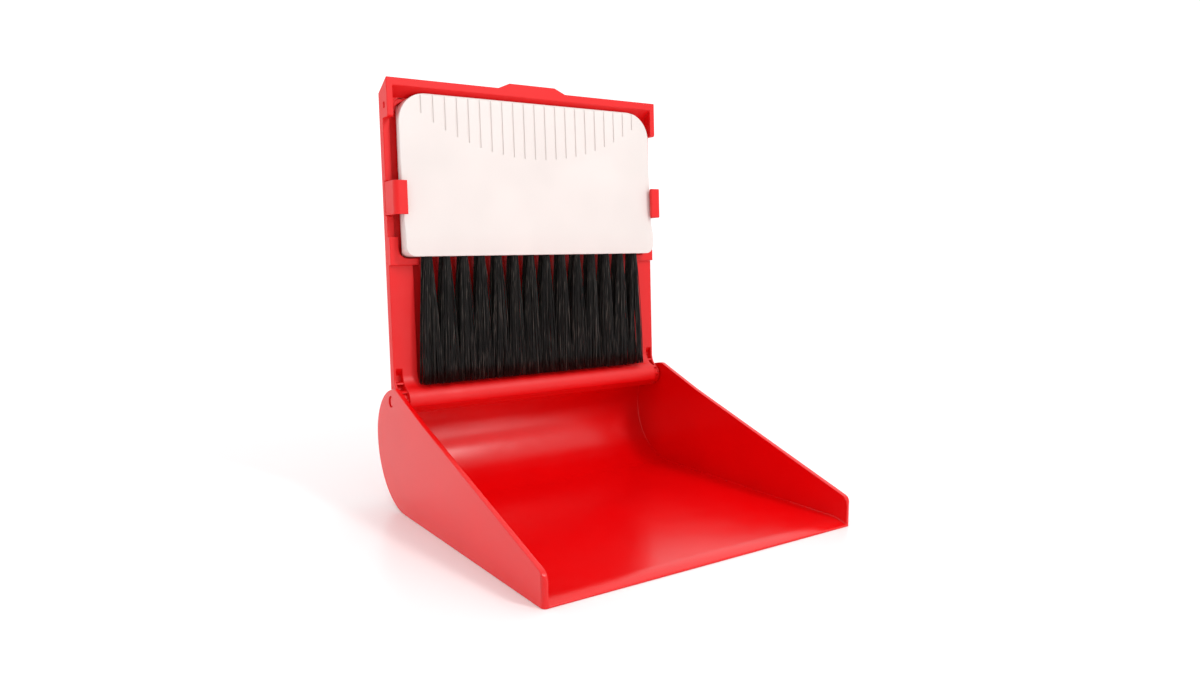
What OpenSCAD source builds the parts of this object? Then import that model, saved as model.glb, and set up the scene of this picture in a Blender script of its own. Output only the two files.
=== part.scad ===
// Folding dust pan with a hinged lid that stores a wide hand brush.
// The pan is a flat scoop with sloped side walls and a rolled back. The lid turns on two pins
// at the back, stands up as a holder for the brush, and folds down between the side walls.
// Units are millimetres, +Z up, the mouth of the pan faces -Y. The origin is on the floor,
// under the middle of the object.

/* [Pan] */
// Outer width of the pan
pan_w = 170; // [168:0.5:176]
// Depth of the pan from the lip to the back of the rolled wall
pan_d = 170; // [168:0.5:176]
// Thickness of the side walls
side_t = 2.5; // [2:0.1:2.6]
// Thickness of the floor and of the rolled back
floor_t = 3; // [2:0.1:3]
// Height where the sloped wall edge would meet the mouth
mouth_h = 13.7; // [13.5:0.1:13.9]
// Slope of the wall edges
slope = 18; // [17.9:0.02:18.1]
// Radius of the upper front corner of each side wall
corner_r = 5; // [2:0.5:6]
// Radius of the upright front edges of the pan
front_r = 2; // [1:0.5:2.4]
// Length of the bevel along the lip
lip_l = 6.5; // [5:0.5:9]
// Thickness left at the lip
lip_t = 0.9; // [0.6:0.1:1.2]
// Radius of the lower half of the rolled back
roll_low_r = 35; // [35:0.5:36]
// Radius of the upper half of the rolled back
roll_up_r = 26.7; // [26.5:0.1:26.9]

/* [Hinge] */
// Distance of the hinge axis from the lip
hinge_y = 149.6; // [149:0.1:150]
// Height of the hinge axis above the floor
hinge_z = 54.8; // [54.5:0.1:55]
// Diameter of the hinge pins
pin_d = 5.8; // [4:0.1:5.8]
// Backward lean of the open lid
lean = 2.5; // [0:0.1:3]

/* [Lid] */
// Side clearance between the lid and the pan walls
lid_gap = 0.4; // [0.3:0.05:0.6]
// Thickness of the lid at its border
lid_t = 4.8; // [4.6:0.1:5]
// Depth of the storage pocket below the border
pocket_t = 3; // [2.5:0.1:3.2]
// Length of the lid from the hinge axis to the tip of the cap
lid_l = 160; // [158:0.5:160]
// How far the cap and its legs stand in front of the hinge axis
cap_front = 4.6; // [4:0.1:4.6]
// Length of the legs of the cap
leg_l = 19.2; // [17:0.1:20]
// Width of the legs of the cap
leg_w = 3.2; // [2.5:0.1:3.5]

/* [Brush] */
// Width of the handle
handle_w = 153.2; // [150:0.2:153.2]
// Height of the handle above its tuft face
handle_h = 81.1; // [78:0.1:81.1]
// Height of the tuft face above the hinge axis
tuft_face = 72.4; // [72:0.1:73]
// Radius of the upper corners of the handle
handle_r = 15; // [12:0.5:18]
// Number of tuft columns
columns = 14; // [14]
// Distance between tuft columns
column_pitch = 9.86; // [9.6:0.02:9.9]
// Distance between the two tuft rows
row_pitch = 5; // [4.8:0.1:5]
// Diameter of a tuft at its root
tuft_d = 3.8; // [3:0.1:3.8]
// Free length of the tufts
tuft_l = 65; // [60:0.5:65]
// Number of grip grooves
grooves = 21; // [15:2:21]
// Distance between grip grooves
groove_pitch = 6.5; // [5.5:0.1:6.5]

/* [Clips] */
// Height of a clip along the lid
clip_h = 16.6; // [14:0.1:17]
// Height of the middle of the clips above the hinge axis
clip_mid = 101.5; // [100:0.5:103]
// How far the clips stand in front of the hinge axis
clip_front = 9.6; // [9.6:0.1:10]
// Thickness of the clip arms and hooks
clip_t = 2; // [1.8:0.1:2.2]

/* [View] */
// Which sub-part to draw

/* [Hidden] */
$fn = 96;
// how deep a raised detail is sunk into the wall below it
sink = 1;
pan_red = "#d8121c";
lid_red = "#dc1a24";
handle_white = "#efe9e4";
bristle_black = "#17171a";
// half widths of the pan outside, its inside and the lid
half_out = pan_w / 2;
half_in = half_out - side_t;
half_lid = half_in - lid_gap;
// rolled back: two arcs that share the height of the rearmost point
roll_z = roll_low_r;
roll_low_y = pan_d - roll_low_r;
roll_up_y = pan_d - roll_up_r;
// from here the wall edge rises a little more steeply, up to the top of the ear
ear_start = 112;
corner_steps = 10;
// clearances round the hinge
heel_gap = 0.8;
stop_gap = 0.6;
pin_gap = 0.05;
press_gap = 0.02;
// how far the outer ends of the pins lie below the walls, and how far the inner ends fall short
pin_recess = 0.6;
pin_short = 0.6;
pin_chamfer = 0.4;
// lid levels along its normal, positive towards the mouth, zero on the hinge axis
border_n = -1.8;
back_n = border_n - lid_t;
floor_n = border_n - pocket_t;
heel_r = -back_n;
// cap outline
cap_drop = 6.4;
cap_face = 3.8;
cap_under = 5;
leg_chamfer = 0.8;
// barrels round the hinge axis: the lower band, the outer flanges and the bosses of the pins
band_r = 7;
flange_r = 5.2;
boss_r = 4.6;
// fillet between a barrel and the front of the plate, sunk this far into both
blend_r = 8;
bite = 0.02;
// lower front edge of the band
edge_n = 6.32;
edge_u = -3;
// ribbed channels between the band and the flanges
flange_t = 1.2;
channel_w = 3.4;
channel_n = -5;
channel_top = 16;
channel_high = 12.3;
channel_low = 9.5;
channel_foot_n = -1.5;
channel_foot = 4.3;
channel_ribs = [8, 4, 0];
channel_rib_t = 1;
channel_rib_drop = 1.2;
// pockets in the lid
pocket_half = handle_w / 2 + 2;
pocket_top = 150.4;
pocket_r = 11;
bristle_half = 69.3;
bristle_low = 7;
bristle_r = 5;
bristle_low_r = 1.5;
// ledges under the lower corners of the handle
ledge_low = 68.3;
ledge_high = 82.4;
ledge_n = 0.4;
ledge_w = 4.5;
ledge_h = 3.3;
ledge_in = 67;
ledge_fillet = 5;
// ring mark, snap slots and thumb tab on the lid
ring_x = 72.6;
ring_u = 147.2;
ring_r = 4.6;
ring_w = 0.8;
ring_t = 0.35;
slot_u = 147;
slot_n = 0.4;
slot_h = 3;
slot_w = 1.8;
slot_t = 1;
tab_base = 20.4;
tab_top = 13.9;
tab_rise = 2.8;
tab_t = 3.6;
tab_root = 2;
// clips and the blind notches they sit in
clip_hook = 6.8;
clip_bend = 2.6;
notch_gap = 0.4;
notch_back = border_n - 1.6;
clip_back = notch_back + notch_gap;
// handle levels along the lid normal, from the back to the front
handle_back = floor_n + 0.4;
handle_top_back = 1.9;
handle_top_front = 4;
handle_edge_front = 4.7;
handle_crown_front = 4.9;
handle_shoulder = 7.5;
handle_edge = 1;
handle_crown = 3.5;
handle_mid_front = 5.3;
handle_mid_u = 120;
handle_low_front = 6.7;
handle_low_u = 90.5;
facet_u = 84;
handle_face_front = 8.4;
handle_low_r = 5;
// draft of the sides: full width in front of this level, narrower by this much at the back
draft_n = 2.5;
draft_w = 2.2;
shell_t = 2.4;
tuft_block_h = 12;
rib_t = 1.6;
rib_x = 38;
corner_room = 6;
// smile shaped lower bound of the grip grooves
smile_r = 115.8;
smile_low = 123.5;
groove_w = 0.8;
groove_t = 0.5;
grip_cut = 1;
// tufts
row_mid = 3;
hole_d = 4.5;
hole_l = 6;
stub_l = 1;
tip_w = 8.8;
tip_t = 4.2;
tip_h = 0.5;

// ---------- shared placement ----------

// stands a 2D shape drawn in (depth, height) up across the given span of x
module across(x0, x1) {
    translate([x0, 0, 0])
        rotate([90, 0, 90])
            linear_extrude(height = x1 - x0)
                children();
}

// frame of the pan: y is measured from the lip
module in_pan() {
    translate([0, -pan_d / 2, 0])
        children();
}

// frame of the lid: y runs against the lid normal, z along the lid, zero on the hinge axis
module in_lid() {
    in_pan()
        translate([0, hinge_y, hinge_z])
            rotate([-lean, 0, 0])
                children();
}

// extrudes a 2D shape drawn in (x, height) along the lid normal, from level n0 to level n1
module through_lid(n0, n1) {
    translate([0, -n0, 0])
        rotate([90, 0, 0])
            linear_extrude(height = n1 - n0)
                children();
}

module both_sides() {
    children();
    mirror([1, 0, 0])
        children();
}

// ---------- pan ----------

// side view of the pan, (distance from lip, height)
module pan_outline() {
    corner_z = mouth_h + tan(slope) * corner_r - corner_r / cos(slope);
    corner_end = 90 + slope;
    polygon(concat(
        [
            [0, 0],
            [roll_low_y, 0],
            [roll_low_y, roll_z],
            [roll_up_y, roll_z],
            [roll_up_y, roll_z + roll_up_r],
            [ear_start, mouth_h + tan(slope) * ear_start],
        ],
        [
            for (i = [0 : corner_steps])
                let (a = corner_end + (180 - corner_end) * i / corner_steps)
                [corner_r + corner_r * cos(a), corner_z + corner_r * sin(a)]
        ]
    ));
    quarter_discs(roll_low_r, roll_up_r);
}

// the two arcs of the rolled back, with the given radii
module quarter_discs(low_r, up_r) {
    intersection() {
        translate([roll_low_y, roll_z])
            circle(r = low_r);
        translate([roll_low_y, roll_z - low_r - 1])
            square([low_r + 1, low_r + 1]);
    }
    intersection() {
        translate([roll_up_y, roll_z])
            circle(r = up_r);
        translate([roll_up_y, roll_z])
            square([up_r + 1, up_r + 1]);
    }
}

// the hollow of the pan in side view, open at the top and at the mouth
module pan_hollow() {
    top_z = 2 * hinge_z;
    open_y = hinge_y + heel_r + stop_gap;
    polygon([
        [-1, lip_t - (floor_t - lip_t) / lip_l],
        [lip_l, floor_t],
        [roll_low_y, floor_t],
        [roll_low_y, top_z],
        [-1, top_z],
    ]);
    quarter_discs(roll_low_r - floor_t, roll_up_r - floor_t);
    translate([roll_low_y - 1, roll_z])
        square([hinge_y - roll_low_y + 1, top_z - roll_z]);
    translate([hinge_y - 1, hinge_z])
        square([open_y - hinge_y + 1, top_z - hinge_z]);
    translate([hinge_y, hinge_z])
        circle(r = heel_r + heel_gap);
}

// the pan seen from above, with rounded upright front edges
module pan_plan() {
    translate([0, 0, -1])
        linear_extrude(height = 2 * hinge_z)
            plate_outline(half_out, 0, pan_d + front_r, front_r, front_r);
}

module pan() {
    color(pan_red)
        in_pan()
            difference() {
                intersection() {
                    across(-half_out - 1, half_out + 1)
                        pan_outline();
                    pan_plan();
                }
                across(-half_in, half_in)
                    pan_hollow();
                across(-half_out - 1, half_out + 1)
                    translate([hinge_y, hinge_z])
                        circle(d = pin_d + 2 * press_gap);
            }
}

// ---------- hinge pins ----------

module hinge_pin() {
    pin_l = side_t - pin_recess + lid_gap + flange_t + channel_w - pin_short;
    in_pan()
        translate([-half_out + pin_recess, hinge_y, hinge_z])
            rotate([0, 90, 0]) {
                cylinder(d1 = pin_d - 2 * pin_chamfer, d2 = pin_d, h = pin_chamfer);
                translate([0, 0, pin_chamfer])
                    cylinder(d = pin_d, h = pin_l - pin_chamfer);
            }
}

module hinge_pin_left() {
    color(lid_red)
        hinge_pin();
}

module hinge_pin_right() {
    color(lid_red)
        mirror([1, 0, 0])
            hinge_pin();
}

// ---------- lid ----------

// side view of the plate of the lid in (-normal, height), with its slanted cap and round heel
module plate_side() {
    polygon([
        [heel_r, 0],
        [heel_r, lid_l - cap_drop],
        [-cap_front, lid_l],
        [-cap_front, lid_l - cap_face],
        [-border_n, lid_l - cap_face - cap_under],
        [-border_n, 0],
        [0, 0],
        [0, -heel_r],
    ]);
    intersection() {
        circle(r = heel_r);
        translate([0, -heel_r - 1])
            square([heel_r + 1, heel_r + 2]);
    }
}

// front half of a barrel round the hinge axis, blended into the front of the plate
module barrel(r) {
    blend_n = border_n + blend_r - bite;
    blend_u = sqrt(pow(r + blend_r - bite, 2) - blend_n * blend_n);
    difference() {
        union() {
            intersection() {
                circle(r = r);
                translate([-r - 1, -r - 1])
                    square([r + 1, 2 * r + 2]);
            }
            polygon([
                [0, 0],
                [-blend_n, blend_u],
                [heel_r - sink, blend_u],
                [heel_r - sink, 0],
            ]);
        }
        translate([-blend_n, blend_u])
            circle(r = blend_r);
        // slanted underside that meets the barrel in the lower front edge
        polygon([
            [0, -heel_r],
            [-2 * edge_n, 2 * edge_u + heel_r],
            [-2 * edge_n, -2 * heel_r],
            [0, -2 * heel_r],
        ]);
    }
}

// legs of the cap: deeper at the top, plain at the lower end
module cap_legs() {
    both_sides()
        across(-half_lid, -half_lid + leg_w)
            polygon([
                [-cap_front, lid_l - cap_face / 2],
                [-cap_front, lid_l - leg_l + leg_chamfer],
                [-cap_front + leg_chamfer, lid_l - leg_l],
                [-border_n + sink, lid_l - leg_l],
                [-border_n + sink, lid_l - cap_drop],
            ]);
}

// rounded rectangle in (x, height): separate radii for the lower and upper corners
module plate_outline(half, low, high, low_r, high_r) {
    for (s = [-1, 1]) {
        translate([s * (half - low_r), low + low_r])
            circle(r = low_r);
        translate([s * (half - high_r), high - high_r])
            circle(r = high_r);
    }
    polygon([
        [-half + low_r, low],
        [half - low_r, low],
        [half, low + low_r],
        [half, high - high_r],
        [half - high_r, high],
        [-half + high_r, high],
        [-half, high - high_r],
        [-half, low + low_r],
    ]);
}

module pocket_outline() {
    plate_outline(pocket_half, ledge_low + 1, pocket_top, handle_low_r, pocket_r);
}

module lid_pockets() {
    through_lid(floor_n, band_r + 1) {
        pocket_outline();
        plate_outline(bristle_half, bristle_low, ledge_high, bristle_low_r, bristle_r);
    }
}

// L shaped ledge with a rounded inner corner, left side
module ledge() {
    inner_x = -half_lid + ledge_w;
    inner_u = ledge_low + ledge_h;
    through_lid(floor_n - sink, ledge_n)
        difference() {
            translate([-half_lid, ledge_low])
                square([half_lid - ledge_in, ledge_high - ledge_low]);
            translate([inner_x + ledge_fillet, inner_u + ledge_fillet])
                circle(r = ledge_fillet);
            translate([inner_x + ledge_fillet, inner_u])
                square([half_lid, ledge_high]);
            translate([inner_x, inner_u + ledge_fillet])
                square([half_lid, ledge_high]);
        }
}

// arc left of the ring mark beside the pocket, left side
module ring_mark() {
    through_lid(border_n - sink, border_n + ring_t)
        difference() {
            translate([-ring_x, ring_u])
                circle(r = ring_r);
            translate([-ring_x, ring_u])
                circle(r = ring_r - ring_w);
            pocket_outline();
            translate([-half_lid, lid_l - cap_face - cap_under])
                square([half_lid, cap_drop]);
        }
}

// hollow between the flange and the band, left side
module channel_cut() {
    top_slope = (channel_top - channel_high) / (border_n - channel_n);
    across(-half_lid + flange_t, -half_lid + flange_t + channel_w)
        polygon([
            [0, channel_top - border_n * top_slope],
            [-channel_n, channel_high],
            [-channel_n, channel_low],
            [-channel_foot_n, channel_foot],
            [0, channel_foot],
        ]);
}

// boss of the pin and small cross ribs in the channel, left side
module channel_fill() {
    across(-half_lid + flange_t - bite, -half_lid + flange_t + channel_w + bite) {
        circle(r = boss_r);
        intersection() {
            barrel(band_r - channel_rib_drop);
            for (u = channel_ribs)
                translate([-band_r, u])
                    square([band_r + heel_r - sink / 2, channel_rib_t]);
        }
    }
}

module notch() {
    translate([-half_lid - 1, -clip_front, clip_mid - clip_h / 2 - notch_gap])
        cube([clip_t + notch_gap + 1, clip_front - notch_back, clip_h + 2 * notch_gap]);
}

module snap_slot() {
    translate([-half_lid - 1, -slot_n - slot_w / 2, slot_u - slot_h / 2])
        cube([slot_t + 1, slot_w, slot_h]);
}

module thumb_tab() {
    through_lid(cap_front - tab_t, cap_front)
        polygon([
            [-tab_base, lid_l - tab_root],
            [-tab_base, lid_l],
            [-tab_top, lid_l + tab_rise],
            [tab_top, lid_l + tab_rise],
            [tab_base, lid_l],
            [tab_base, lid_l - tab_root],
        ]);
}

module lid() {
    color(lid_red)
        in_lid() {
            difference() {
                union() {
                    difference() {
                        across(-half_lid, half_lid)
                            plate_side();
                        both_sides()
                            channel_cut();
                    }
                    across(-half_lid + flange_t + channel_w, half_lid - flange_t - channel_w)
                        barrel(band_r);
                    both_sides() {
                        across(-half_lid, -half_lid + flange_t)
                            barrel(flange_r);
                        channel_fill();
                    }
                    cap_legs();
                    thumb_tab();
                }
                lid_pockets();
                both_sides() {
                    notch();
                    snap_slot();
                    across(-half_lid - 1, -half_lid + flange_t + channel_w - bite)
                        circle(d = pin_d + 2 * pin_gap);
                }
            }
            both_sides() {
                ledge();
                ring_mark();
            }
        }
}

// ---------- clips ----------

// snap clip of the left side: an arm in the notch, a round bend and a hook over the handle
module clip() {
    translate([-half_lid, 0, clip_mid - clip_h / 2])
        linear_extrude(height = clip_h) {
            translate([0, -clip_front + clip_bend])
                square([clip_t, clip_front - clip_bend - clip_back]);
            translate([clip_bend, -clip_front])
                square([clip_hook - clip_bend, clip_t]);
            intersection() {
                translate([clip_bend, -clip_front + clip_bend])
                    difference() {
                        circle(r = clip_bend);
                        circle(r = clip_bend - clip_t);
                    }
                translate([0, -clip_front])
                    square([clip_bend, clip_bend]);
            }
        }
}

module clip_left() {
    color(lid_red)
        in_lid()
            clip();
}

module clip_right() {
    color(lid_red)
        in_lid()
            mirror([1, 0, 0])
                clip();
}

// ---------- brush ----------

// side view of the handle in (-normal, height)
module handle_profile() {
    top = tuft_face + handle_h;
    polygon([
        [-handle_back, tuft_face],
        [-handle_back, top - handle_shoulder],
        [-handle_top_back, top],
        [-handle_top_front, top],
        [-handle_edge_front, top - handle_edge],
        [-handle_crown_front, top - handle_crown],
        [-handle_mid_front, handle_mid_u],
        [-handle_low_front, handle_low_u],
        [-handle_face_front, facet_u],
        [-handle_face_front, tuft_face],
    ]);
}

// cuts a 2D shape drawn in (x, height) into the slanted grip face, to the given depth
module grip_cutter(depth) {
    rise = tuft_face + handle_h - handle_crown - handle_mid_u;
    grip_lean = atan((handle_mid_front - handle_crown_front) / rise);
    translate([0, -handle_mid_front + depth, handle_mid_u])
        rotate([90 - grip_lean, 0, 0])
            linear_extrude(height = depth + grip_cut)
                translate([0, -handle_mid_u])
                    children();
}

// grip grooves: upright cuts from the smile shaped arc up to and off the top edge
module grip_grooves() {
    first = -(grooves - 1) / 2 * groove_pitch;
    high = tuft_face + handle_h + 1;
    for (i = [0 : grooves - 1]) {
        x = first + i * groove_pitch;
        low = smile_low + smile_r - sqrt(smile_r * smile_r - x * x);
        grip_cutter(groove_t)
            translate([x - groove_w / 2, low])
                square([groove_w, high - low]);
    }
}

// wedges that narrow the handle towards its back
module draft_wedges() {
    deep = draft_w * (1 + 1 / (draft_n - handle_back));
    both_sides()
        translate([-handle_w / 2, 0, tuft_face - 1])
            linear_extrude(height = handle_h + 2)
                polygon([
                    [-1, -draft_n],
                    [0, -draft_n],
                    [deep, -handle_back + 1],
                    [-1, -handle_back + 1],
                ]);
}

// open back of the handle, split by two ribs
module handle_hollow() {
    low = tuft_face + tuft_block_h;
    high = tuft_face + handle_h - handle_shoulder - shell_t;
    side = handle_w / 2 - draft_w - shell_t;
    cuts = [
        [-side, -rib_x - rib_t / 2],
        [-rib_x + rib_t / 2, rib_x - rib_t / 2],
        [rib_x + rib_t / 2, side],
    ];
    for (c = cuts) {
        is_side = c[0] * c[1] > 0;
        cut_top = is_side ? high - corner_room : high;
        translate([c[0], -handle_mid_front + shell_t + groove_t, low])
            cube([c[1] - c[0], handle_mid_front - handle_back, cut_top - low]);
    }
}

function column_x(i) = (i - (columns - 1) / 2) * column_pitch;
function row_n(k) = row_mid + k * row_pitch / 2;

module tuft_holes() {
    for (i = [0 : columns - 1])
        for (k = [-1, 1])
            translate([column_x(i), -row_n(k), tuft_face - 1])
                cylinder(d = hole_d, h = hole_l + 1, $fn = 32);
}

module brush_handle() {
    color(handle_white)
        in_lid()
            difference() {
                intersection() {
                    across(-handle_w / 2, handle_w / 2)
                        handle_profile();
                    through_lid(handle_back - 1, handle_face_front + 1)
                        plate_outline(handle_w / 2, tuft_face, tuft_face + handle_h,
                                      handle_low_r, handle_r);
                }
                draft_wedges();
                grip_grooves();
                handle_hollow();
                tuft_holes();
            }
}

// one column of bristles: two tufts, each a round root that opens to a flat tip
module tuft(i) {
    color(bristle_black)
        in_lid()
            for (k = [-1, 1])
                translate([column_x(i), -row_n(k), tuft_face])
                    hull() {
                        translate([0, 0, stub_l - tip_h])
                            cylinder(d = tuft_d, h = tip_h, $fn = 24);
                        translate([0, 0, -stub_l])
                            cylinder(d = tuft_d, h = tip_h, $fn = 24);
                        for (s = [-1, 1])
                            translate([s * (tip_w - tip_t) / 2, 0, -tuft_l])
                                cylinder(d = tip_t, h = tip_h, $fn = 24);
                    }
}

module tuft_01() tuft(0);
module tuft_02() tuft(1);
module tuft_03() tuft(2);
module tuft_04() tuft(3);
module tuft_05() tuft(4);
module tuft_06() tuft(5);
module tuft_07() tuft(6);
module tuft_08() tuft(7);
module tuft_09() tuft(8);
module tuft_10() tuft(9);
module tuft_11() tuft(10);
module tuft_12() tuft(11);
module tuft_13() tuft(12);
module tuft_14() tuft(13);

pan();
hinge_pin_left();
hinge_pin_right();
lid();
clip_left();
clip_right();
brush_handle();
tuft_01();
tuft_02();
tuft_03();
tuft_04();
tuft_05();
tuft_06();
tuft_07();
tuft_08();
tuft_09();
tuft_10();
tuft_11();
tuft_12();
tuft_13();
tuft_14();
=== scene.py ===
import math
import random

import bmesh
import bpy
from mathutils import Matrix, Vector


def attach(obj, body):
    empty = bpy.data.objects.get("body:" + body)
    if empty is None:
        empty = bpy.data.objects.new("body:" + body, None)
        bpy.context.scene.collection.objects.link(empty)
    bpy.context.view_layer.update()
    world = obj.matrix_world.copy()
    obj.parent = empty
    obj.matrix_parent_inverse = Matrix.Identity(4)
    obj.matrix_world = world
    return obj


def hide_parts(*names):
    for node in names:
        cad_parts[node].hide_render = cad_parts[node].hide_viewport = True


bl_info = {
    "name": "Folding dust pan and brush set",
    "version": (1, 0, 0),
    "blender": (4, 5, 0),
    "location": "3D View > Sidebar > Dust pan",
    "description": "Builds the looks of a folding dust pan with a hand brush around its CAD frame",
    "category": "Object",
}

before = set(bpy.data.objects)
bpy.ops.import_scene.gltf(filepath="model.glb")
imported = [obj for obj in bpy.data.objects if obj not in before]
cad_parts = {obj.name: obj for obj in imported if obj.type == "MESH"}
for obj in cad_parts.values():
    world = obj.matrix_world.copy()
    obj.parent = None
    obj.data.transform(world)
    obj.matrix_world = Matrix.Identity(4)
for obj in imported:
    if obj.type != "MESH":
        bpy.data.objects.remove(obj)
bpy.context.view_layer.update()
MM = 0.001

# Placement of the lid and of the tufts, as the CAD source gives it. A column holds two tufts,
# whose rows lie at ROW_LEVELS in front of the hinge axis
HINGE = Vector((0.0, 0.0646, 0.0548))
LEAN = math.radians(2.5)
TUFT_FACE = 72.4 * MM
COLUMNS = 14
COLUMN_PITCH = 9.86 * MM
ROW_LEVELS = (0.5 * MM, 5.5 * MM)
BORE_DEPTH = 1 * MM
ROOT_RADIUS = 1.72 * MM
TIP_HALF_WIDTH = 5.8 * MM
TIP_HALF_DEPTH = 2.0 * MM

# How a filament runs. OPENING below 1 spreads a tuft early along its length
PATH_STEPS = 8
OPENING = 0.8
FILAMENT_SIDES = 5
END_TAPER = 0.8
BOW = 0.45 * MM
LENGTH_SCATTER = 0.7 * MM
SHORT_SHARE = 0.06
SHORT_BY = 5 * MM

# How filaments gather at their tips, in shares of the tip's half width and half depth
GOLDEN_ANGLE = math.pi * (3 - math.sqrt(5))
LOCKS = 6
LOCK_REACH_ACROSS = 0.9
LOCK_REACH_DEEP = 0.8
LOCK_PULL = (0.1, 0.45)
AIM_SCATTER = 0.12
AIM_LIMIT = 1.05
BRISTLE_SEED = 4100

# How the CAD nodes are softened. The pins and the lid take a share of the shell's edge radius
JOIN_DISTANCE = 0.002 * MM
FLAT_ANGLE = math.radians(0.3)
SHARP_ANGLE = math.radians(28)
EDGE_SEGMENTS = 3
FLAT_FACE_WEIGHT = 80
PIN_EDGE_SHARE = 0.4
LID_EDGE_SHARE = 0.7

# Textures. A size is about the width of the largest features. The noise band is the part of a
# noise texture's range that the mouldings use. A stop of the hair ramp is a place on the ramp and
# how light the bristle colour is there. The darker stops vary the tone from hair to hair. The
# palest stop is painted highlight: pale streaks on some hairs that stand in for glints of light
NOISE_BAND = (0.3, 0.7)
FLOW_SIZE = 45 * MM
FLOW_DRIFT = 0.035
POLISH_SIZE = 9 * MM
EDGE_SAMPLES = 6
HAIR_TONE_AND_GLINT_WIDTH = 0.5 * MM
HAIR_TONE_AND_GLINT_LENGTH = 40 * MM
# the last stop, 13 times the bristle colour, is painted highlight in place of glints on the hairs
HAIR_TONE_AND_GLINT_STOPS = ((0.4, 0.5), (0.58, 1.6), (0.7, 13.0))
FLOOR_HAZE_SIZE = 60 * MM

# Floor, light tent and lamps. The tent is tipped so that its bright half reaches over the set,
# and fades from dark to bright between heights -TENT_FADE and TENT_FADE of its tipped direction
FLOOR_HALF_SIZE = 6.0
TENT_TIP = math.radians(-30)
TENT_FADE = 0.35
KEY_PLACE = Vector((0.42, -1.03, 1.02))
KEY_SIDES = (0.2, 0.5)
LOW_PLACE = Vector((0.52, -1.38, 0.16))
LOW_SIDES = (0.4, 0.28)
LAMP_TARGET = Vector((0.0, 0.0, 0.08))

# Camera
CAMERA_PLACE = Vector((-0.2430, -0.3552, 0.1382))
CAMERA_YAW = math.radians(34.18)
CAMERA_PITCH = math.radians(6.65)
CAMERA_LENS = 26.43
CAMERA_SENSOR = 36.0
CAMERA_NEAREST = 0.01


def linear(hex_code):
    """Turns an sRGB hex colour into linear red, green and blue."""
    parts = [int(hex_code[i : i + 2], 16) / 255 for i in (0, 2, 4)]
    return tuple(c / 12.92 if c <= 0.04045 else ((c + 0.055) / 1.055) ** 2.4 for c in parts)


def on_lid(x, n, u):
    """A point given by its place across the lid, in front of the hinge axis and above it."""
    y = -n * math.cos(LEAN) + u * math.sin(LEAN)
    z = n * math.sin(LEAN) + u * math.cos(LEAN)
    return HINGE + Vector((x, y, z))


# ---------- settings ----------


def colour_setting(name, description, hex_code):
    """A colour that the sidebar shows."""
    return bpy.props.FloatVectorProperty(
        name=name,
        description=description,
        subtype="COLOR",
        size=3,
        min=0,
        max=1,
        default=linear(hex_code),
    )


def length_setting(name, description, default, least=0):
    """A length in metres that the sidebar shows."""
    return bpy.props.FloatProperty(
        name=name,
        description=description,
        subtype="DISTANCE",
        unit="LENGTH",
        min=least,
        default=default,
    )


def strength_setting(name, description, default):
    """The strength of an even light."""
    return bpy.props.FloatProperty(name=name, description=description, min=0, default=default)


def power_setting(name, description, default):
    """The power of a lamp in watts."""
    return bpy.props.FloatProperty(
        name=name,
        description=description,
        subtype="POWER",
        unit="POWER",
        min=0,
        default=default,
    )


class DustPanShellSettings(bpy.types.PropertyGroup):
    """Sizes and colours of the red mouldings."""

    colour: colour_setting(
        "Shell red",
        "Colour of the pan, the lid, the clips and the hinge pins",
        "E60004",
    )
    edge_radius: length_setting(
        "Edge radius",
        "Radius that the mould leaves on the edges of the pan",
        0.35 * MM,
    )


class DustPanBrushSettings(bpy.types.PropertyGroup):
    """Sizes and colours of the brush."""

    handle_colour: colour_setting("Handle white", "Colour of the brush handle", "E8E0DC")
    handle_edge: length_setting(
        "Handle edge radius",
        "Radius of the edges of the handle",
        0.12 * MM,
    )
    bristle_colour: colour_setting("Bristle black", "Colour of the filaments", "141210")
    filaments: bpy.props.IntProperty(
        name="Filaments per tuft",
        description="How many filaments each tuft holds",
        min=1,
        default=100,
    )
    filament_d: length_setting(
        "Filament diameter",
        "Diameter of a filament, a little over the usual 0.25 mm so that it shows",
        0.3 * MM,
        least=0.1 * MM,
    )
    filament_l: length_setting(
        "Free length",
        "Length of the filaments below the tuft face",
        65 * MM,
        least=10 * MM,
    )


class DustPanStageSettings(bpy.types.PropertyGroup):
    """The studio around the set."""

    floor_colour: colour_setting("Floor white", "Colour of the table top", "F8F8F8")
    rear_light: strength_setting(
        "Rear light",
        "Strength of the even light from behind and above",
        1.18,
    )
    front_light: strength_setting(
        "Front light",
        "Strength of the even light from the front",
        0.7,
    )
    key_power: power_setting(
        "Key light",
        "Power of the soft light above at the front right",
        7.0,
    )
    low_power: power_setting(
        "Low light",
        "Power of the flat light just above the table at the front right",
        1.0,
    )


# ---------- materials ----------


def add_node(tree, kind, links=(), **settings):
    """Adds a node. Settings are its properties or, by name, its input values, with spaces as
    underscores. Links are pairs of an output socket and the name of an input."""
    made = tree.nodes.new(kind)
    for key, value in settings.items():
        name = key.replace("_", " ")
        if name in made.inputs:
            made.inputs[name].default_value = value
        else:
            setattr(made, key, value)
    for source, target in links:
        tree.links.new(source, made.inputs[target])
    return made


def new_material(name, **settings):
    """Starts a material with a Principled shader, whose settings are set on its own sockets.
    Gives the material, its tree, the shader and the place on the object."""
    made = bpy.data.materials.new(name)
    made.use_nodes = True
    tree = made.node_tree
    shader = tree.nodes["Principled BSDF"]
    for key, value in settings.items():
        shader.inputs[key.replace("_", " ")].default_value = value
    place = add_node(tree, "ShaderNodeTexCoord").outputs["Object"]
    return made, tree, shader, place


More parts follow.
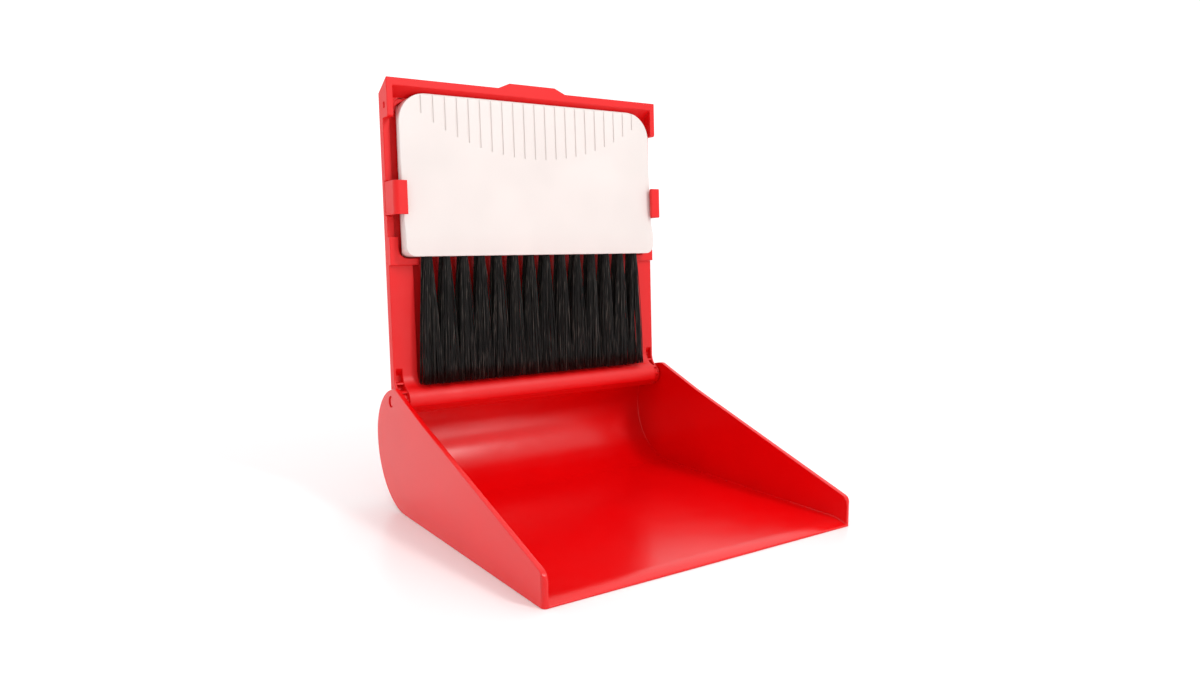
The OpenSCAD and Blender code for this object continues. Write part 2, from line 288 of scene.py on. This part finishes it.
def noise(tree, place, size, detail):
    """A noise texture whose largest features are about as wide as size."""
    made = add_node(
        tree,
        "ShaderNodeTexNoise",
        [(place, "Vector")],
        Scale=1 / size,
        Detail=detail,
    )
    return made.outputs["Fac"]


def shade(colour, factor):
    """The colour made lighter or darker, with alpha."""
    return (*(min(1.0, c * factor) for c in colour), 1.0)


def tone_ramp(tree, source, colour, stops):
    """A ramp through tones of one colour. A stop is a place on the ramp and how light it is."""
    made = add_node(tree, "ShaderNodeValToRGB", [(source, "Fac")])
    elements = made.color_ramp.elements
    while len(elements) < len(stops):
        elements.new(0.5)
    for element, (position, factor) in zip(elements, stops):
        element.position = position
        element.color = shade(colour, factor)
    return made.outputs["Color"]


def uneven_polish(tree, shader, source, rough, band=(0.0, 1.0)):
    """Lets the roughness wander between its two limits with a noise."""
    gloss = add_node(
        tree,
        "ShaderNodeMapRange",
        [(source, "Value")],
        From_Min=band[0],
        From_Max=band[1],
        To_Min=rough[0],
        To_Max=rough[1],
    )
    tree.links.new(gloss.outputs["Result"], shader.inputs["Roughness"])


def moulded_plastic(name, colour, grain, grain_depth, rough, edge, **settings):
    """A glossy or satin moulding: slow colour drift where the melt flowed, uneven polish, a fine
    grain that the mould leaves, and edges that catch the light over a small radius."""
    made, tree, shader, place = new_material(name, **settings)
    stops = zip(NOISE_BAND, (1 - FLOW_DRIFT, 1 + FLOW_DRIFT))
    tone = tone_ramp(tree, noise(tree, place, FLOW_SIZE, 2.0), colour, tuple(stops))
    tree.links.new(tone, shader.inputs["Base Color"])
    uneven_polish(tree, shader, noise(tree, place, POLISH_SIZE, 3.0), rough, NOISE_BAND)
    edges = add_node(tree, "ShaderNodeBevel", Radius=edge, samples=EDGE_SAMPLES)
    bump = add_node(
        tree,
        "ShaderNodeBump",
        [(noise(tree, place, grain, 2.0), "Height"), (edges.outputs["Normal"], "Normal")],
        Strength=1.0,
        Distance=grain_depth,
    )
    tree.links.new(bump.outputs["Normal"], shader.inputs["Normal"])
    return made


def shell_material(settings, satin=False):
    """Polypropylene, injection moulded: saturated red that picks up a pale sheen at a low angle.
    The polished tool of the pan leaves it glossy, the blasted tool of the lid leaves it satin."""
    name = "Polypropylene, moulded " + ("satin" if satin else "glossy")
    if name in bpy.data.materials:
        return bpy.data.materials[name]
    return moulded_plastic(
        name,
        tuple(settings.colour),
        grain=1.1 * MM,
        grain_depth=(0.003 if satin else 0.0015) * MM,
        rough=(0.42, 0.5) if satin else (0.21, 0.26),
        edge=0.5 * MM,
        IOR=1.49,
    )


def handle_material(colour):
    """ABS, injection moulded in a spark-eroded tool: warm off-white with a satin, almost even
    sheen and a very fine grain."""
    return moulded_plastic(
        "ABS, moulded satin",
        colour,
        grain=0.45 * MM,
        grain_depth=0.004 * MM,
        rough=(0.42, 0.52),
        edge=0.6 * MM,
        IOR=1.54,
    )


def filament_material(colour):
    """Nylon 6 filament, drawn from the melt and cut: satin black, with a tone that changes from
    hair to hair, and pale streaks on some hairs that are painted highlight standing in for glints."""
    made, tree, shader, place = new_material(
        "Nylon filament, drawn", IOR=1.53, Roughness=0.45, Specular_IOR_Level=0.3
    )
    along = add_node(tree, "ShaderNodeMapping", [(place, "Vector")])
    # stretched along the hair, so that the tone and the painted highlight streaks change from hair
    # to hair
    along.inputs["Scale"].default_value = (
        1 / HAIR_TONE_AND_GLINT_WIDTH,
        1 / HAIR_TONE_AND_GLINT_WIDTH,
        1 / HAIR_TONE_AND_GLINT_LENGTH,
    )
    hair_tone_and_glint = noise(tree, along.outputs["Vector"], 1.0, 1.0)
    # the ramp varies the tone from hair to hair, and its palest stop paints highlight streaks onto
    # some hairs
    tree.links.new(tone_ramp(tree, hair_tone_and_glint, colour, HAIR_TONE_AND_GLINT_STOPS), shader.inputs["Base Color"])
    return made


def floor_material(colour):
    """Acrylic sheet, cast and polished: a pale floor with a faint soft mirror image."""
    made, tree, shader, place = new_material(
        "Acrylic sheet, cast", IOR=1.49, Specular_IOR_Level=0.3
    )
    uneven_polish(tree, shader, noise(tree, place, FLOOR_HAZE_SIZE, 2.0), (0.26, 0.32))
    shader.inputs["Base Color"].default_value = (*colour, 1.0)
    return made


def light_tent(front, rear):
    """A world that is bright behind the set and darker in front of it."""
    world = bpy.data.worlds.new("Light tent")
    world.use_nodes = True
    tree = world.node_tree
    direction = add_node(tree, "ShaderNodeTexCoord").outputs["Generated"]
    tipped = add_node(tree, "ShaderNodeMapping", [(direction, "Vector")])
    tipped.inputs["Rotation"].default_value = (TENT_TIP, 0, 0)
    parts = add_node(tree, "ShaderNodeSeparateXYZ", [(tipped.outputs["Vector"], "Vector")])
    level = add_node(
        tree,
        "ShaderNodeMapRange",
        [(parts.outputs["Y"], "Value")],
        From_Min=-TENT_FADE,
        From_Max=TENT_FADE,
        To_Min=front,
        To_Max=rear,
    )
    background = tree.nodes["Background"]
    background.inputs["Color"].default_value = (1, 1, 1, 1)
    tree.links.new(level.outputs["Result"], background.inputs["Strength"])
    return world


# ---------- shaping the CAD nodes ----------


def even_shading_group():
    """A node group that joins the split corners of an imported mesh and shades it smooth."""
    name = "Join and smooth"
    if name in bpy.data.node_groups:
        return bpy.data.node_groups[name]
    group = bpy.data.node_groups.new(name, "GeometryNodeTree")
    for direction in ("INPUT", "OUTPUT"):
        group.interface.new_socket(
            "Geometry", in_out=direction, socket_type="NodeSocketGeometry"
        )
    steps = (
        ("GeometryNodeRemoveAttribute", {"Name": "custom_normal"}),
        ("GeometryNodeMergeByDistance", {"Distance": JOIN_DISTANCE}),
        ("GeometryNodeSetShadeSmooth", {"domain": "EDGE"}),
        ("GeometryNodeSetShadeSmooth", {"domain": "FACE"}),
        ("NodeGroupOutput", {}),
    )
    last = add_node(group, "NodeGroupInput")
    for kind, settings in steps:
        last = add_node(group, kind, [(last.outputs["Geometry"], "Geometry")], **settings)
    return group


def soften(name, radius):
    """Rounds the sharp edges of a CAD node with modifiers, which leave its mesh as it is."""
    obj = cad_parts[name]
    join = obj.modifiers.new("Join and smooth", "NODES")
    join.node_group = even_shading_group()
    flat = obj.modifiers.new("Merge flat faces", "DECIMATE")
    flat.decimate_type = "DISSOLVE"
    flat.angle_limit = FLAT_ANGLE
    bevel = obj.modifiers.new("Mould radius", "BEVEL")
    bevel.width = radius
    bevel.segments = EDGE_SEGMENTS
    bevel.limit_method = "ANGLE"
    bevel.angle_limit = SHARP_ANGLE
    bevel.miter_outer = "MITER_ARC"
    bevel.use_clamp_overlap = False
    bevel.loop_slide = False
    weighted = obj.modifiers.new("Flat faces stay flat", "WEIGHTED_NORMAL")
    weighted.weight = FLAT_FACE_WEIGHT
    return obj


def paint(obj, material):
    """Gives a CAD node or a piece one material in all its slots."""
    if not obj.material_slots:
        obj.data.materials.append(material)
    for held in obj.material_slots:
        held.material = material


def add_piece(name, bm, material):
    """Turns a finished bmesh into an object with one material."""
    mesh = bpy.data.meshes.new(name)
    bm.to_mesh(mesh)
    bm.free()
    piece = bpy.data.objects.new(name, mesh)
    bpy.context.scene.collection.objects.link(piece)
    paint(piece, material)
    return piece


# ---------- bristles ----------


def filament_path(root, tip, length, bow):
    """Points down one filament: straight in its bore, then opening towards its tip."""
    points = [(root[0], root[1], BORE_DEPTH)]
    for i in range(PATH_STEPS + 1):
        s = i / PATH_STEPS
        opened = s**OPENING
        x = root[0] + (tip[0] - root[0]) * opened + bow[0] * math.sin(math.pi * s)
        n = root[1] + (tip[1] - root[1]) * opened + bow[1] * math.sin(math.pi * s)
        points.append((x, n, -length * s))
    return points


def ring_at(bm, centre, radius, turn):
    """One ring of corners around a filament, which runs along u."""
    x, n, u = centre
    angles = [turn + math.tau * j / FILAMENT_SIDES for j in range(FILAMENT_SIDES)]
    return [bm.verts.new((x + radius * math.cos(a), n + radius * math.sin(a), u)) for a in angles]


def add_filament(bm, points, radius, turn):
    """Adds one closed round hair along points, which are (x, n, u) from the tuft's root."""
    rings = [ring_at(bm, point, radius, turn) for point in points[:-1]]
    rings.append(ring_at(bm, points[-1], radius * END_TAPER, turn))
    for a, b in zip(rings, rings[1:]):
        for j in range(FILAMENT_SIDES):
            k = (j + 1) % FILAMENT_SIDES
            bm.faces.new((a[j], b[j], b[k], a[k]))
    bm.faces.new(rings[0])
    bm.faces.new(reversed(rings[-1]))


def lock_centres(rng):
    """Where the locks of one tuft end, in shares of the tip's half width and half depth."""
    reach = (LOCK_REACH_ACROSS, LOCK_REACH_DEEP)
    return [tuple(rng.uniform(-r, r) for r in reach) for _ in range(LOCKS)]


def aim_of(rng, disc, locks):
    """Where one filament ends: near its own place in the tuft, drawn to the nearest lock."""
    aim = [place + rng.gauss(0, AIM_SCATTER) for place in disc]
    lock = min(locks, key=lambda c: (c[0] - aim[0]) ** 2 + (c[1] - aim[1]) ** 2)
    pull = rng.uniform(*LOCK_PULL)
    drawn = [a + (c - a) * pull for a, c in zip(aim, lock)]
    return [max(-AIM_LIMIT, min(AIM_LIMIT, a)) for a in drawn]


def tuft_filaments(bm, rng, settings):
    """Fills the two tufts of a column."""
    for level in ROW_LEVELS:
        locks = lock_centres(rng)
        for i in range(settings.filaments):
            share = math.sqrt((i + 0.5) / settings.filaments)
            angle = i * GOLDEN_ANGLE
            disc = (share * math.cos(angle), share * math.sin(angle))
            root = (disc[0] * ROOT_RADIUS, disc[1] * ROOT_RADIUS)
            aim = aim_of(rng, disc, locks)
            tip = (aim[0] * TIP_HALF_WIDTH, aim[1] * TIP_HALF_DEPTH)
            length = settings.filament_l - abs(rng.gauss(0, LENGTH_SCATTER))
            if rng.random() < SHORT_SHARE:
                length -= rng.uniform(0, SHORT_BY)
            bow = (rng.gauss(0, BOW), rng.gauss(0, BOW))
            path = filament_path(root, tip, length, bow)
            moved = [(x, n + level, u) for x, n, u in path]
            add_filament(bm, moved, settings.filament_d / 2, rng.uniform(0, math.tau))


def bristle_column(index, settings, material):
    """Makes one column of bristles, which stands for its CAD tuft."""
    rng = random.Random(BRISTLE_SEED + index)
    bm = bmesh.new()
    tuft_filaments(bm, rng, settings)
    centre = (index - (COLUMNS - 1) / 2) * COLUMN_PITCH
    for v in bm.verts:
        x, n, u = v.co
        v.co = on_lid(centre + x, n, TUFT_FACE + u)
    bmesh.ops.recalc_face_normals(bm, faces=bm.faces)
    for f in bm.faces:
        f.smooth = len(f.verts) == 4
    piece = add_piece(f"bristles_{index + 1:02d}", bm, material)
    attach(piece, "bristle_body")
    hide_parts(f"tuft_{index + 1:02d}")


# ---------- studio ----------


def add_floor(colour):
    """Lays a wide table top at z = 0."""
    bm = bmesh.new()
    bmesh.ops.create_grid(bm, x_segments=1, y_segments=1, size=FLOOR_HALF_SIZE)
    floor = add_piece("studio_floor", bm, floor_material(colour))


def add_lamp(scene, name, place, sides, power):
    """Hangs one soft rectangular lamp that faces the set."""
    data = bpy.data.lights.new(name, "AREA")
    data.shape = "RECTANGLE"
    data.size, data.size_y = sides
    data.energy = power
    lamp = bpy.data.objects.new(name, data)
    lamp.location = place
    lamp.rotation_euler = (LAMP_TARGET - place).to_track_quat("-Z", "Y").to_euler()
    scene.collection.objects.link(lamp)


def add_camera(scene):
    """Puts the camera in front of the left corner of the mouth, a little above the set's middle."""
    lens = bpy.data.cameras.new("camera")
    lens.sensor_width = CAMERA_SENSOR
    lens.lens = CAMERA_LENS
    lens.clip_start = CAMERA_NEAREST
    camera = bpy.data.objects.new("camera", lens)
    camera.location = CAMERA_PLACE
    across = math.cos(CAMERA_PITCH)
    look = Vector(
        (
            math.sin(CAMERA_YAW) * across,
            math.cos(CAMERA_YAW) * across,
            -math.sin(CAMERA_PITCH),
        )
    )
    camera.rotation_euler = look.to_track_quat("-Z", "Y").to_euler()
    scene.collection.objects.link(camera)
    scene.camera = camera


# ---------- operators ----------


class DUSTPAN_OT_stage(bpy.types.Operator):
    """Adds the floor, the lights and the camera"""

    bl_idname = "dustpan.stage"
    bl_label = "Stage"

    def execute(self, context):
        scene = context.scene
        settings = scene.dustpan_stage
        add_floor(tuple(settings.floor_colour))
        scene.world = light_tent(settings.front_light, settings.rear_light)
        add_lamp(scene, "key_light", KEY_PLACE, KEY_SIDES, settings.key_power)
        add_lamp(scene, "low_light", LOW_PLACE, LOW_SIDES, settings.low_power)
        add_camera(scene)
        scene.view_settings.view_transform = "Standard"
        return {"FINISHED"}


class DUSTPAN_OT_pan(bpy.types.Operator):
    """Finishes the pan"""

    bl_idname = "dustpan.pan"
    bl_label = "Pan"

    def execute(self, context):
        settings = context.scene.dustpan_shell
        paint(soften("pan", settings.edge_radius), shell_material(settings))
        return {"FINISHED"}


class DUSTPAN_OT_hinge_pins(bpy.types.Operator):
    """Finishes the two hinge pins"""

    bl_idname = "dustpan.hinge_pins"
    bl_label = "Hinge pins"

    def execute(self, context):
        settings = context.scene.dustpan_shell
        radius = settings.edge_radius * PIN_EDGE_SHARE
        for name in ("hinge_pin_left", "hinge_pin_right"):
            paint(soften(name, radius), shell_material(settings))
        return {"FINISHED"}


class DUSTPAN_OT_lid(bpy.types.Operator):
    """Finishes the lid and its two clips"""

    bl_idname = "dustpan.lid"
    bl_label = "Lid and clips"

    def execute(self, context):
        settings = context.scene.dustpan_shell
        radius = settings.edge_radius * LID_EDGE_SHARE
        for name in ("lid", "clip_left", "clip_right"):
            paint(soften(name, radius), shell_material(settings, satin=True))
        return {"FINISHED"}


class DUSTPAN_OT_handle(bpy.types.Operator):
    """Finishes the handle of the brush"""

    bl_idname = "dustpan.handle"
    bl_label = "Brush handle"

    def execute(self, context):
        settings = context.scene.dustpan_brush
        material = handle_material(tuple(settings.handle_colour))
        paint(soften("brush_handle", settings.handle_edge), material)
        return {"FINISHED"}


class DUSTPAN_OT_bristles(bpy.types.Operator):
    """Builds the fourteen columns of bristles"""

    bl_idname = "dustpan.bristles"
    bl_label = "Bristles"

    def execute(self, context):
        settings = context.scene.dustpan_brush
        material = filament_material(tuple(settings.bristle_colour))
        for index in range(COLUMNS):
            bristle_column(index, settings, material)
        return {"FINISHED"}


OPERATORS = (
    DUSTPAN_OT_stage,
    DUSTPAN_OT_pan,
    DUSTPAN_OT_hinge_pins,
    DUSTPAN_OT_lid,
    DUSTPAN_OT_handle,
    DUSTPAN_OT_bristles,
)

SETTINGS = {
    "dustpan_stage": DustPanStageSettings,
    "dustpan_shell": DustPanShellSettings,
    "dustpan_brush": DustPanBrushSettings,
}


class DUSTPAN_PT_sidebar(bpy.types.Panel):
    """Lists the settings and the steps"""

    bl_idname = "DUSTPAN_PT_sidebar"
    bl_label = "Dust pan"
    bl_space_type = "VIEW_3D"
    bl_region_type = "UI"
    bl_category = "Dust pan"

    def draw(self, context):
        for group in SETTINGS:
            box = self.layout.box()
            held = getattr(context.scene, group)
            for name in held.__annotations__:
                box.prop(held, name)
        for operator in OPERATORS:
            self.layout.operator(operator.bl_idname)


def register():
    for kind in (*SETTINGS.values(), *OPERATORS, DUSTPAN_PT_sidebar):
        bpy.utils.register_class(kind)
    for name, kind in SETTINGS.items():
        setattr(bpy.types.Scene, name, bpy.props.PointerProperty(type=kind))


def unregister():
    for name in SETTINGS:
        delattr(bpy.types.Scene, name)
    for kind in (DUSTPAN_PT_sidebar, *OPERATORS, *SETTINGS.values()):
        bpy.utils.unregister_class(kind)


def main():
    """Registers the add-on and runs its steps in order."""
    register()
    for operator in OPERATORS:
        group, step = operator.bl_idname.split(".")
        getattr(getattr(bpy.ops, group), step)()


if __name__ == "__main__":
    main()
